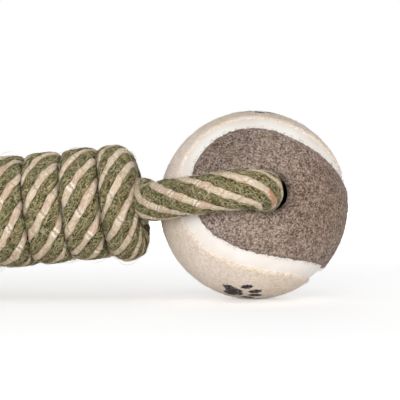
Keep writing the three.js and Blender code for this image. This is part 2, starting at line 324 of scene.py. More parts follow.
def smoothNoise(rows, columns, along, across):
    # even random relief, softened along the rope and round it
    values = random.normal(size=(rows, columns))
    for _ in range(along):
        values[1:-1] = (values[:-2] + 2 * values[1:-1] + values[2:]) / 4
    for _ in range(across):
        values = (np.roll(values, 1, 1) + 2 * values + np.roll(values, -1, 1)) / 4
    return values / values.std()


def layColumns():
    # the section's corners: angle, height over the rope's core, kind and place across the strand
    def strand(sides, power):
        place = (1 - np.cos(np.pi * np.arange(sides + 1) / sides)) / 2
        return place, np.sqrt(1 - np.abs(2 * place[:-1] - 1) ** power)
    green, greenHeight = strand(lay["greenSides"], lay["greenPower"])
    beige, beigeHeight = strand(lay["beigeSides"], lay["beigePower"])
    pairs, wide = lay["pairs"], 1 - lay["beigeShare"]
    angles = np.concatenate([np.r_[pair + green[:-1] * wide,
                                   pair + wide + beige[:-1] * lay["beigeShare"]]
                             for pair in range(pairs)])
    heights = np.r_[greenHeight, beigeHeight - lay["beigeSink"]]
    kinds = [0] * lay["greenSides"] + [1] * lay["beigeSides"]
    across = np.r_[np.stack([green[:-1], green[1:]], 1), np.stack([beige[:-1], beige[1:]], 1)]
    return (angles * 2 * math.pi / pairs, np.tile(heights, pairs), np.tile(kinds, pairs),
            np.tile(across, (pairs, 1)))


def sectionOffset(run, at, out, height):
    # the section is squarer where turns press on each other, and slimmer in the ball's mouth
    offset = out * height[..., None]
    if "flatten" in run:
        direction, amount = run["flatten"]
        amount = np.interp(at, run["at"], amount)
        c = np.abs(np.clip(out @ direction, -1, 1))
        power = 2 + lay["squareness"] * amount
        grown = (c ** power + np.sqrt(1 - c ** 2) ** power) ** (-1 / power)
        offset = offset * grown[..., None]
        offset = offset + (offset @ direction * lay["widened"] * amount)[..., None] * direction
    if "squeeze" in run:
        direction, amount = run["squeeze"]
        amount = np.interp(at, run["at"], amount)
        offset = offset - (offset @ direction * amount)[..., None] * direction
    return offset


def ropeSkin(run, endDomes=(0, 0), mapStart=0):
    angles, heights, kinds, across = layColumns()
    rows, columns = len(run["line"]), len(angles)
    strand = np.arange(columns) // (lay["greenSides"] + lay["beigeSides"])
    ply = (run["at"][:, None] / lay["plyPitch"] + angles * lay["plySlant"]
           + strand * lay["plyShift"])
    plyShape = (1 - (2 * (ply % 1) - 1) ** 2) ** 0.3
    edgeStep = np.maximum(kinds, np.roll(kinds, 1)) * lay["plyStep"] * (0.5 - ply % 1)
    edgeStep = edgeStep + lay["edgeWander"] * smoothNoise(rows, columns, 1, 2)
    radius = (lay["radius"] - lay["grooveDepth"]) + lay["grooveDepth"] * heights[None]
    beige = (kinds == 1) * np.clip(heights, 0, 1)
    radius = radius + beige * lay["plyDepth"] * (plyShape - 0.7)
    green = (kinds == 0) * np.clip(heights + 0.3, 0, 1)
    radius = radius + green * lay["woolliness"] * smoothNoise(rows, columns, 1, 1)
    radius = radius + lay["unevenness"] * smoothNoise(rows, columns, 9, 6)
    radius = radius + lay["swell"] * smoothNoise(rows, columns, 60, 30)
    fromStart, fromEnd = run["at"], run["at"][-1] - run["at"]
    for distance, dome in zip((fromStart, fromEnd), endDomes):
        if dome:
            share = np.clip(distance / dome, 0, 1)
            radius = radius * (0.35 + 0.65 * np.sqrt(1 - (1 - share) ** 2))[:, None]
    turned = angles[None] + run["turn"][:, None] + edgeStep
    out = (np.cos(turned)[..., None] * run["spoke"][:, None]
           + np.sin(turned)[..., None] * run["wing"][:, None])
    skin = run["line"][:, None] + sectionOffset(run, run["at"][:, None], out, radius)
    between = np.zeros((rows, columns))
    if "flatten" in run:
        direction, amount = run["flatten"]
        facing = (np.abs(out @ direction) - lay["darkFrom"]) / lay["darkOver"]
        between = amount[:, None] * np.clip(facing, 0, 1)
    return {"skin": np.concatenate([skin, skin[:, :1]], 1), "ply": ply, "across": across,
            "between": np.concatenate([between, between[:, :1]], 1),
            "angles": np.r_[angles, 2 * math.pi], "kinds": kinds, "at": run["at"],
            "mapStart": mapStart}


def ropePiece(name, made, first, last, materials):
    skin = made["skin"][first:last]
    rows, columns = skin.shape[0] - 1, skin.shape[1] - 1
    mesh = meshFrom(name, gridOf(columns, rows, (skin.reshape(-1, 3) * mm).tolist()))

    def corners(values):
        # a value at each point of the grid, for the four corners of each face
        values = np.broadcast_to(values, (rows + 1, columns + 1))
        return np.stack([values[:-1, :-1], values[:-1, 1:], values[1:, 1:], values[1:, :-1]], 2)

    ply = made["ply"][first:last]
    around = corners(made["angles"] * lay["radius"])
    along = corners(made["at"][first:last, None] + made["mapStart"])
    across = np.broadcast_to(made["across"][:, (0, 1, 1, 0)], (rows, columns, 4))
    plies = corners(np.concatenate([ply, ply[:, -1:]], 1))
    for layer, u, v in (("rope", around, along), ("strand", across, plies)):
        places = np.stack([u, v], 3).astype(np.float32)
        mesh.uv_layers.new(name=layer).data.foreach_set("uv", places.ravel())
    between = mesh.attributes.new("between", "FLOAT", "POINT")
    between.data.foreach_set("value", made["between"][first:last].astype(np.float32).ravel())
    mesh.polygons.foreach_set("material_index", np.tile(made["kinds"], rows).astype(np.int32))
    mesh.polygons.foreach_set("use_smooth", np.ones(rows * columns, bool))
    bm = bmesh.new()
    bm.from_mesh(mesh)
    bm.verts.ensure_lookup_table()
    sides = [bm.verts[row * (columns + 1) + edge]
             for row in range(rows + 1) for edge in (0, columns)]
    bmesh.ops.remove_doubles(bm, verts=sides, dist=1e-7)
    bmesh.ops.holes_fill(bm, edges=[e for e in bm.edges if e.is_boundary], sides=0)
    bm.to_mesh(mesh)
    bm.free()
    for material in materials:
        mesh.materials.append(material)
    return link(name, mesh)


def runPlace(run, at, angle, height):
    # points on the rope for distances along it, angles round it and heights over its line
    def here(values):
        return np.stack([np.interp(at, run["at"], values[:, k]) for k in range(3)], -1)
    out = (here(run["spoke"]) * np.cos(angle)[..., None]
           + here(run["wing"]) * np.sin(angle)[..., None])
    return here(run["line"]) + sectionOffset(run, at, out, height)


fuzz = {
    # hairs to a centimetre of rope, their length, how far they stand off, and the shares of cream,
    # light olive, green and brown: first the nap, then the stray ones
    "kinds": [(66, (2.4, 7.5), (0.05, 0.5), (0.34, 0.28, 0.2, 0.18)),
              (3.0, (6, 12), (0.6, 2.0), (0.6, 0.4, 0, 0))],
    "thickness": 0.066, "taper": (0.8, 0.35), "curl": 1.3, "rootDepth": 0.12, "unevenness": 0.04,
    "arch": (0.55, 1.0), "floorGap": 0.25, "before": 14,  # hairs start this far before the loop
}


def hairPiece(name, paths, thickness, tones, materials):
    # thin three sided hairs, each on its own spline
    corner = bpy.data.curves.new("hairSection", "CURVE")
    section = corner.splines.new("POLY")
    section.points.add(2)
    for k, point in enumerate(section.points):
        angle = -2 * math.pi * k / 3
        point.co = (math.cos(angle) * thickness * mm, math.sin(angle) * thickness * mm, 0, 1)
    section.use_cyclic_u = True
    sectionHolder = link("hairSection", corner)
    curve = bpy.data.curves.new(name, "CURVE")
    curve.dimensions = "3D"
    curve.bevel_mode, curve.bevel_object = "OBJECT", sectionHolder
    curve.use_fill_caps = True
    steps = paths.shape[1]
    places = np.concatenate([paths * mm, np.ones((len(paths), steps, 1))], 2).astype(np.float32)
    root, tip = fuzz["taper"]
    taper = np.r_[root, np.ones(steps - 2), tip].astype(np.float32)
    for place, tone in zip(places, tones):
        spline = curve.splines.new("POLY")
        spline.points.add(steps - 1)
        spline.points.foreach_set("co", place.ravel())
        spline.points.foreach_set("radius", taper)
        spline.material_index = int(tone)
    holder = link(name + "Line", curve)
    bpy.context.view_layer.update()
    shown = holder.evaluated_get(bpy.context.evaluated_depsgraph_get())
    mesh = bpy.data.meshes.new_from_object(shown)
    mesh.name = name
    bpy.data.objects.remove(holder)
    bpy.data.objects.remove(sectionHolder)
    mesh.materials.clear()
    for material in materials:
        mesh.materials.append(material)
    return link(name, mesh)


def ropeFuzz(name, run, low, high, materials, steps=5):
    t = np.linspace(0, 1, steps)[None]
    circle = (0, 2 * math.pi)
    paths, tones = [], []
    for count, reach, lifts, shares in fuzz["kinds"]:
        number = int(count * (high - low) / 10)
        at, angle, heading, long = (random.uniform(*limits, (number, 1))
                                    for limits in ((low, high), circle, circle, reach))
        bend = heading + random.normal(0, fuzz["curl"], (number, 1)) * (t - 0.5)
        along = at + np.cumsum(np.cos(bend), 1) * long / steps
        around = angle + np.cumsum(np.sin(bend), 1) * long / steps / lay["radius"]
        lift, arch = (random.uniform(*limits, (number, 1)) for limits in (lifts, fuzz["arch"]))
        height = (lay["radius"] - fuzz["rootDepth"] + lift * np.sin(np.pi * t * arch)
                  + random.normal(0, fuzz["unevenness"], (number, steps)))
        placed = runPlace(run, np.clip(along, low, high), around, height)
        placed[..., 2] = np.maximum(placed[..., 2], fuzz["floorGap"])
        paths.append(placed)
        tones.append(random.choice(4, number, p=shares))
    return hairPiece(name, np.concatenate(paths), fuzz["thickness"], np.concatenate(tones),
                     materials)


def shadeOf(value):
    # a grey from one number, or from three, 0 to 255, a colour as a picture shows it
    def linear(part):
        part = part / 255
        return part / 12.92 if part <= 0.04045 else ((part + 0.055) / 1.055) ** 2.4
    return (value, value, value, 1) if np.isscalar(value) else (*map(linear, value), 1)


def shaderOf(material):
    return material.node_tree.nodes["Principled BSDF"]


def newFinish(name, roughness, specular, sheen=0, tint=1):
    material = bpy.data.materials.new(name)
    material.use_nodes = True
    settings = {"Roughness": roughness, "Specular IOR Level": specular}
    if sheen:
        settings.update({"Sheen Weight": sheen, "Sheen Roughness": 0.5,
                         "Sheen Tint": shadeOf(tint)})
    for socket, value in settings.items():
        shaderOf(material).inputs[socket].default_value = value
    return material


def feed(socket, value):
    # a link from another node, or a fixed value
    if hasattr(value, "links"):
        socket.id_data.links.new(value, socket)
    else:
        socket.default_value = value


def treeOf(*values):
    return next(value.id_data for value in values if hasattr(value, "links"))


def put(kind, *inOrder, tree=None, **named):
    # a node in the tree of what feeds it, its settings and inputs given by name or in order
    tree = tree or treeOf(*inOrder, *named.values())
    made = tree.nodes.new("ShaderNode" + kind)
    for name, value in named.items():
        if hasattr(made, name):
            setattr(made, name, value)
        else:
            feed(made.inputs[name.replace("_", " ")], value)
    for socket, value in zip(made.inputs, inOrder):
        feed(socket, value)
    return made


def sums(operation, *values, clamp=False):
    return put("Math", *values, operation=operation, use_clamp=clamp).outputs[0]


def vectors(operation, *values):
    made = put("VectorMath", *values, operation=operation)
    return made.outputs["Value" if operation == "LENGTH" else "Vector"]


def mapPlace(material, layer):
    return put("UVMap", tree=material.node_tree, uv_map=layer).outputs["UV"]


def objectPlace(material):
    return put("TexCoord", tree=material.node_tree).outputs["Object"]


def noise(place, scale, detail=3.0, roughness=0.55, distortion=0.0):
    return put("TexNoise", Vector=place, Scale=scale, Detail=detail, Roughness=roughness,
               Distortion=distortion).outputs["Fac"]


def stepNoise(value):
    # one random number from each whole number to the next
    whole = sums("FLOOR", value)
    return put("TexWhiteNoise", noise_dimensions="1D", W=whole).outputs["Value"]


def stretched(place, scale, turn=0.0):
    return put("Mapping", place, Scale=scale, Rotation=(0, 0, turn)).outputs["Vector"]


def fromSpot(place, middle, reach, turn=0.0):
    # the distance from a spot's middle, 1 at its rim
    moved = put("Mapping", place, vector_type="TEXTURE", Location=middle, Scale=reach,
                Rotation=(0, 0, turn))
    return vectors("LENGTH", moved.outputs["Vector"])


def fromMiddle(value):
    # 0 at a half, 1 at 0 and at 1
    return sums("ABSOLUTE", sums("MULTIPLY_ADD", value, 2, -1))


def frayed(value, uneven, amount):
    # a value moved up and down by a noise
    return sums("MULTIPLY_ADD", uneven, amount, sums("SUBTRACT", value, amount / 2))


def ramp(value, stops):
    made = put("ValToRGB", value)
    elements = made.color_ramp.elements
    while len(elements) < len(stops):
        elements.new(0.5)
    for element, (position, shade) in zip(elements, stops):
        element.position, element.color = position, shadeOf(shade)
    return made.outputs["Color"]


def mixed(share, first, second, kind="MIX"):
    made = put("Mix", share, tree=treeOf(share, first, second), data_type="RGBA", blend_type=kind)
    for value, socket in ((first, made.inputs[6]), (second, made.inputs[7])):
        feed(socket, value if hasattr(value, "links") else shadeOf(value))
    return made.outputs[2]


def multiplied(body, value, stops):
    return mixed(1.0, body, ramp(value, stops), "MULTIPLY")


def painted(material, body, height=None, distance=0.0, strength=1.0, **others):
    # the finish with its colour, and the relief that is too fine for the mesh, metres
    sockets = {"Base Color": body, **others}
    if height is not None:
        relief = put("Bump", Strength=strength, Distance=distance, Height=height)
        sockets["Normal"] = relief.outputs["Normal"]
    for socket, value in sockets.items():
        feed(shaderOf(material).inputs[socket], value)
    return material


def curlyLines(place, scale, width, distortion=1.2):
    # thin lines that wander like loose fibres
    away = fromMiddle(noise(place, scale, 2, 0.5, distortion))
    return ramp(away, [(width * 0.3, 1), (width, 0)])


def darkBetween(body):
    # turns that press on each other keep the light out
    made = put("Attribute", tree=body.id_data, attribute_name="between")
    return multiplied(body, made.outputs["Fac"], [(0, 1), (1, 0.3)])


def woollyGreen():
    material = newFinish("woollyGreen", 0.95, 0.08, 0.08, (200, 200, 170))
    place = mapPlace(material, "rope")
    across = put("SeparateXYZ", mapPlace(material, "strand")).outputs[0]
    fibres = noise(stretched(place, (1.3, 0.7, 1), 0.6), 1.5, 5, 0.65, 1.4)
    crossing = noise(stretched(place, (0.7, 1.4, 1), -0.5), 1.3, 5, 0.65, 1.2)
    patches = noise(place, 0.3, 2, 0.5, 0.4)
    mossy = ramp(fibres, [(0.36, (18, 24, 10)), (0.46, (44, 58, 28)), (0.54, (68, 80, 42)),
                          (0.66, (122, 123, 77))])
    earthy = ramp(crossing, [(0.36, (30, 22, 11)), (0.46, (72, 57, 31)), (0.55, (96, 81, 46)),
                             (0.68, (151, 133, 89))])
    body = mixed(ramp(patches, [(0.44, 0.08), (0.56, 0.88)]), mossy, earthy)
    shade = curlyLines(stretched(place, (1, 1.2, 1), 1.1), 0.75, 0.13)
    body = mixed(sums("MULTIPLY", shade, 0.6), body, (30, 28, 17))
    for scale, width, turn, strength in ((0.62, 0.085, 0.3, 0.8), (0.9, 0.075, -0.9, 0.65)):
        bright = curlyLines(stretched(place, (1.25, 0.8, 1), turn), scale, width, 1.6)
        body = mixed(sums("MULTIPLY", bright, strength), body, (204, 190, 144))
    # painted shade in the grooves: darker towards each strand's edges
    body = multiplied(body, fromMiddle(across), [(0.84, 1), (1, 0.72)])
    return painted(material, darkBetween(body), sums("ADD", fibres, crossing), 0.0007, 0.9)


def plyBeige(around, along, size):
    # with one worn spot, at a place on the rope's own map
    material = newFinish("plyBeige", 0.85, 0.15, 0.15, (240, 225, 200))
    place = mapPlace(material, "rope")
    across, ply = put("SeparateXYZ", mapPlace(material, "strand")).outputs[:2]
    threads = noise(stretched(place, (2.2, 0.6, 1), 0.6), 1.8, 4, 0.6, 0.5)
    blotches = noise(stretched(place, (0.35, 0.22, 1)), 1.0, 3, 0.55, 0.3)
    cream = ramp(threads, [(0.34, (190, 161, 130)), (0.48, (228, 208, 180)),
                           (0.62, (248, 237, 217))])
    rosy = ramp(threads, [(0.34, (174, 127, 103)), (0.5, (216, 178, 154)),
                          (0.66, (238, 213, 192))])
    pink = sums("MULTIPLY_ADD", stepNoise(ply), 0.4, blotches)
    body = mixed(ramp(pink, [(0.66, 0.1), (0.86, 0.6)]), cream, rosy)
    crease = frayed(fromMiddle(sums("FRACT", ply)), threads, 0.3)
    # painted highlight: pale lines along the ridges beside each crease between plies, stronger in
    # some plies than in others
    uneven = sums("MULTIPLY_ADD", stepNoise(sums("ADD", ply, 0.5)), 1.6, -0.25, clamp=True)
    rim = ramp(crease, [(0.66, 0), (0.74, 0.95), (0.84, 0.95), (0.9, 0)])
    body = mixed(sums("MULTIPLY", uneven, rim), body, (255, 248, 234))
    # painted shade in the creases between plies
    body = mixed(ramp(crease, [(0.9, 0), (0.97, 0.45)]), body, (172, 134, 108))
    # painted shade in the grooves: darker towards the strand's edges
    body = multiplied(body, fromMiddle(across), [(0.84, 1), (1, (206, 190, 166))])
    worn = frayed(fromSpot(place, (around, along, 0), (size, size, 1)), threads, 1.6)
    body = mixed(ramp(worn, [(0.7, 0.85), (1, 0)]), body, (196, 134, 92))
    return painted(material, darkBetween(body), threads, 0.0007, 0.9)


def hairFinish(name, shade, deep):
    material = newFinish(name, 0.9, 0.15)
    tone = noise(objectPlace(material), 300, 2)
    return painted(material, ramp(tone, [(0.35, deep), (0.65, shade)]))


felt = {
    "radius": 32, "inner": 29.7, "seamHalf": 3.3, "seamRagged": 0.3,
    "edgeRound": 0.9, "edgeDrop": 0.45,
    "mouth": 6.6, "mouthRagged": 0.12, "mouthRoll": 4.6, "mouthSink": 2.4, "mouthShift": 1.25,
    "backMouthRoom": 1.4,  # the back hole is wider: the ball turns clear of the rope
    "mouthPaintedShade": (6.2, 9.4),  # painted shade round the rope's holes: darkest and clear, from the mouth's middle
    "relief": 0.1, "grain": 0.035, "swing": 0.2836, "rise": 0.7607,
    "turn": (29.97, -66.64, -93.08),
    # the seam is laid a little higher here: right, up and towards the camera, millimetres, spread
    "seamNudges": [((0.05, 0.86, 0.5), 1.5, 0.55), ((0.79, 0.5, 0.35), 2.0, 0.4)],
    # and is wider there towards the light felt
    "seamWider": [((0.05, 0.86, 0.5), 1.5, 0.6), ((0.75, 0.58, 0.3), 1.6, 0.4)],
    # half of the seam band's section: aside of the seam's middle and from the ball's middle
    "band": [(3.9, 29.75), (3.95, 30.5), (3.75, 31.0), (3.2, 31.12), (2.3, 31.2), (1.2, 31.26)],
    "bandMiddle": (31.28, 29.75), "bandSteps": 420,
    "hairs": {"dark": 3600, "light": 2000}, "hairLength": (0.6, 1.7), "hairThickness": 0.05,
    "hairCurl": 1.2, "hairLift": (0.05, 0.4), "hairRoot": 0.1, "hairEdge": 0.7, "hairTries": 12,
    # soft spots: right, up and towards the camera from the ball's middle, radius and tint; a
    # darker, browner spot at the dark felt's right, and painted shade at its upper left
    "darkSpotsAndShade": [((0.66, 0.06, 0.75), 24, (226, 216, 208)),
                   ((-0.35, 0.62, 0.7), 20, (222, 220, 218))],
    # painted shade over the top of the light felt
    "lightTopShade": [((0.1, 1, 0), 30, (232, 232, 234))],
}


def feltFinish(name, base, pale, deep, mottle, spotsAndShade, pawPrints=False):
    material = newFinish(name, 0.97, 0.06, 0.14, pale)
    place = objectPlace(material)
    pile = noise(place, 1500, 3, 0.65, 0.9)
    clumps = noise(place, 420, 3, 0.6, 0.8)
    broad = noise(place, 60, 3, 0.5)
    grain = sums("MULTIPLY_ADD", pile, 0.78, sums("MULTIPLY", clumps, 0.22))
    body = mixed(mottle, base, ramp(grain, [(0.415, deep), (0.5, base), (0.585, pale)]))
    body = multiplied(body, broad, [(0.4, (255, 250, 248)), (0.6, (246, 240, 230))])
    # each spot multiplies the felt by its tint: painted shade, and on the dark felt a browner spot
    # at the right too
    for way, size, tint in spotsAndShade:
        middle = ballCentre + unit(np.array(way)) @ fromView * felt["radius"]
        far = fromSpot(place, middle * mm, (size * mm, size * mm, size * mm))
        body = multiplied(body, frayed(far, broad, 0.8), [(0.25, tint), (1, 1)])
    # painted shade round the rope's holes, where the felt rolls in, by the distance from the bore's
    # line
    aside = vectors("SUBTRACT", place, (ballCentre + mouthWay * felt["mouthShift"]) * mm)
    distance = vectors("LENGTH", vectors("CROSS_PRODUCT", aside, boreAxis / mm))
    dark, clear = felt["mouthPaintedShade"]
    rim = put("MapRange", Value=distance, From_Min=dark, From_Max=clear).outputs[0]
    body = multiplied(body, rim, [(0, 0.42), (0.45, 0.8), (1, 1)])
    if pawPrints:
        body = mixed(pawMask(material, pile), body, (14, 11, 16))
    return painted(material, body, grain, 0.0005, 0.75)


paw = {
    # centre across and towards the toes, half width, half length, millimetres, and turn, degrees
    "pads": [(0, -3.0, 3.6, 3.1, 0), (-2.6, -4.9, 2.2, 2.1, 20), (2.6, -4.9, 2.2, 2.1, -20),
             (-5.1, 1.1, 1.45, 2.2, 24), (-1.8, 3.8, 1.55, 2.4, 8), (1.8, 3.8, 1.55, 2.4, -8),
             (5.1, 1.1, 1.45, 2.2, -24)],
    "seen": [((-0.115, -0.917, 0.382), (1, 0.1, 0)), ((0.075, 0.9965, 0.035), (1, 0, 0.35))],
    "apart": 24, "clearOfEdges": 9.5,
}

def pawMask(material, raggedness):
    place = mapPlace(material, "paw")
    nearest = None
    for across, towards, halfWidth, halfLength, turn in paw["pads"]:
        far = fromSpot(place, (across, towards, 0), (halfWidth, halfLength, 1), math.radians(turn))
        nearest = far if nearest is None else sums("MINIMUM", nearest, far)
    return ramp(frayed(nearest, raggedness, 1.5), [(0.9, 0.98), (1, 0)])


def seamFinish():
    material = newFinish("seamRubber", 0.5, 0.35)
    place = objectPlace(material)
    fine = noise(place, 1400, 4, 0.6)
    tone = ramp(noise(place, 90, 3, 0.5), [(0.35, (240, 232, 224)), (0.65, (249, 244, 238))])
    rough = ramp(fine, [(0.3, 0.42), (0.7, 0.62)])
    return painted(material, tone, fine, 0.0001, 0.4, Roughness=rough)


def rubberFinish():
    material = newFinish("darkRubber", 0.8, 0.3)
    fine = noise(objectPlace(material), 700, 4, 0.6)
    tone = ramp(fine, [(0.3, (72, 66, 60)), (0.7, (98, 90, 82))])
    return painted(material, tone, fine, 0.0002, 0.5)


hairFinishes = [hairFinish("hairCream", (222, 212, 180), (190, 176, 140)),
                hairFinish("hairOlive", (160, 162, 122), (126, 128, 92)),
                hairFinish("hairGreen", (104, 108, 72), (74, 78, 50)),
                hairFinish("hairBrown", (128, 110, 80), (92, 76, 54))]
darkFelt = feltFinish("darkFelt", (145, 130, 121), (193, 179, 170), (95, 81, 74), 1.0,
                      felt["darkSpotsAndShade"])
lightFelt = feltFinish("lightFelt", (237, 226, 214), (247, 240, 232), (213, 199, 185), 0.75,
                       felt["lightTopShade"], pawPrints=True)
feltHairDark = hairFinish("feltHairDark", (196, 182, 174), (120, 104, 96))
feltHairLight = hairFinish("feltHairLight", (238, 228, 216), (206, 194, 180))
seamRubber, darkRubber = seamFinish(), rubberFinish()
print("finishes made")

ballParts, windingPart = ballRopeRoute()
ballLine = evenly(np.vstack(ballParts + [windingPart]), lay["spacing"])


def alongTo(line, point):
    step = np.linalg.norm(np.diff(line, axis=0), axis=1)
    return np.r_[0, np.cumsum(step)][np.argmin(np.linalg.norm(line - point, axis=1))]


marks = {"loopStart": ballParts[2][0], "loopEnd": ballParts[2][-1], "wound": windingPart[0],
         "mouth": mouthBend(1, ballParts[2][0])[3]}
marks = {name: alongTo(ballLine, point) for name, point in marks.items()}
wound = marks["wound"]
ballRun = ropeRun(ballLine, [(marks[mark] + past, length)
                             for mark, past, length in lay["stations"]])
pressed = np.clip((ballRun["at"] - wound - lay["pressFrom"]) / lay["pressOver"], 0, 1)
ballRun["flatten"] = (gripAlong, pressed)
inBore = (ballLine - ballCentre) @ boreAxis
fromBore = np.linalg.norm(ballLine - ballCentre - np.outer(inBore, boreAxis), axis=1)
along, alongFade, aside, asideFade = rope["squeezeZone"]
ballRun["squeeze"] = (mouthWay, rope["mouthSqueeze"] * np.clip(
    (along - np.abs(inBore)) / alongFade, 0, 1) * np.clip((aside - fromBore) / asideFade, 0, 1))
ballSkin = ropeSkin(ballRun, (0, lay["endDome"]))


def skinPlaceAt(run, skin, right, up):
    # the place on the rope's own map that shows at a distance right of and above the ball's middle
    corners = skin["skin"][:, :-1]
    seen = (corners - ballCentre) @ fromView.T
    facing = (corners - run["line"][:, None]) @ viewBack > 1
    middle = (skin["kinds"] == 1) & (np.abs(skin["across"].mean(1) - 0.5) < 0.2)
    inFront = seen[..., 2] > 20
    off = np.hypot(seen[..., 0] - right, seen[..., 1] - up)
    off = np.where(facing & middle & inFront, off, np.inf)
    row, column = np.unravel_index(np.argmin(off), off.shape)
    return skin["angles"][column] * lay["radius"], skin["at"][row] + skin["mapStart"]


wornRight, wornUp, wornSize = rope["wornSpot"]
wornPlace = skinPlaceAt(ballRun, ballSkin, wornRight, wornUp)
ropeFinishes = [woollyGreen(), plyBeige(*wornPlace, wornSize)]
cut = int(np.searchsorted(ballRun["at"], wound))
ballRope = ropePiece("rope_ball_loop", ballSkin, 0, cut + 1, ropeFinishes)
winding = ropePiece("rope_grip_winding", ballSkin, cut, len(ballRun["line"]), ropeFinishes)
print("ball loop and winding laid", len(ballRope.data.polygons), len(winding.data.polygons))

handParts = handRopeRoute()
handLine = evenly(np.vstack(handParts), lay["spacing"])
handRun = ropeRun(handLine, [(0, lay["handLay"])], lay["handTurn"])
handSkin = ropeSkin(handRun, (lay["handDome"], 0), mapStart=lay["handMapStart"])
# what lies lower than this is flattened on the floor
low, least = handSkin["skin"][..., 2], rope["flatUnder"]
flat = least * np.exp(np.minimum(low / least - 1, 0))
handSkin["skin"][..., 2] = np.where(low < least, flat, low)
handRope = ropePiece("rope_hand_loop", handSkin, 0, len(handLine), ropeFinishes)
print("hand loop laid", len(handRope.data.polygons))

fuzzStart = marks["loopStart"] - fuzz["before"]
ballFuzz = ropeFuzz("fuzz_ball_loop", ballRun, fuzzStart, wound, hairFinishes)
gripFuzz = ropeFuzz("fuzz_grip", ballRun, wound, ballRun["at"][-1], hairFinishes)
handFuzz = ropeFuzz("fuzz_hand_loop", handRun, 0, handRun["at"][-1], hairFinishes)
print("fuzz grown", len(ballFuzz.data.polygons), len(gripFuzz.data.polygons))


def turnMatrix(degrees):
    # turns about x, y and z, the last one first
    made = np.eye(3)
    for axis, angle in enumerate(degrees):
        c, s = math.cos(math.radians(angle)), math.sin(math.radians(angle))
        turn, others = np.eye(3), [(axis + 1) % 3, (axis + 2) % 3]
        turn[np.ix_(others, others)] = [[c, -s], [s, c]]
        made = made @ turn
    return made


def nearPlaces(directions, places):
    # the amounts of a list of places on the ball, each fading with its spread
    total = np.zeros(len(directions))
    for way, amount, spread in places:
        way = unit(np.array(way)) @ fromView
        total += amount * np.exp(-(np.arccos(np.clip(directions @ way, -1, 1)) / spread) ** 2)
    return total


def acrossSeam(out):
    return np.cross(out, ontoUnit(np.roll(out, -1, 0) - np.roll(out, 1, 0)))


def seamCurve(count):
    t = np.linspace(0, 2 * math.pi, count, endpoint=False)
    b = felt["swing"]
    out = np.stack([(1 - b) * np.cos(t) + b * np.cos(3 * t),
                    (1 - b) * np.sin(t) - b * np.sin(3 * t),
                    felt["rise"] * np.sin(2 * t)], 1) @ turnMatrix(felt["turn"]).T
    out = ontoUnit(out)
    across = acrossSeam(out)
    nudge = nearPlaces(out, felt["seamNudges"]) / felt["radius"]
    out = ontoUnit(out + across * (np.sign(across @ viewUp) * nudge)[:, None])
    return out, acrossSeam(out)


seamOut, seamAcross = seamCurve(900)


def seamDistance(directions):
    # distance from the seam's middle over the felt, millimetres, and the way across it
    nearest = np.zeros(len(directions), int)
    for first in range(0, len(directions), 8000):
        nearest[first:first + 8000] = np.argmax(directions[first:first + 8000] @ seamOut.T, axis=1)
    across = seamAcross[nearest]
    aside = np.einsum("ij,ij->i", directions - seamOut[nearest], across)
    return np.arcsin(np.clip(aside, -1, 1)) * felt["radius"], across


frontSide = np.sign(seamDistance(boreAxis[None])[0][0])


def seamEdge(directions, side):
    return felt["seamHalf"] + (side != frontSide) * nearPlaces(directions, felt["seamWider"])


def fromMouth(directions):
    # the way from the middle of the rope's hole in the felt, and the distance from it
    along = directions @ boreAxis
    aside = directions - np.outer(along, boreAxis)
    aside = aside - np.outer(along > 0, mouthWay) * felt["mouthShift"] / felt["radius"]
    room = np.where(along < 0, felt["backMouthRoom"], 0)
    return aside, np.linalg.norm(aside, axis=1) * felt["radius"] - room


def wander(directions, scale, seed):
    # smooth uneven values over the ball
    source = np.random.default_rng(seed)
    ways, phases = source.normal(size=(14, 3)) * scale, source.uniform(0, 2 * math.pi, 14)
    return np.sin(directions @ ways.T + phases).mean(1) * 2.2


def smoothPiece(name, bm, material):
    bmesh.ops.recalc_face_normals(bm, faces=bm.faces)
    mesh = meshFrom(name, bm)
    mesh.polygons.foreach_set("use_smooth", np.ones(len(mesh.polygons), bool))
    mesh.materials.append(material)
    return link(name, mesh)


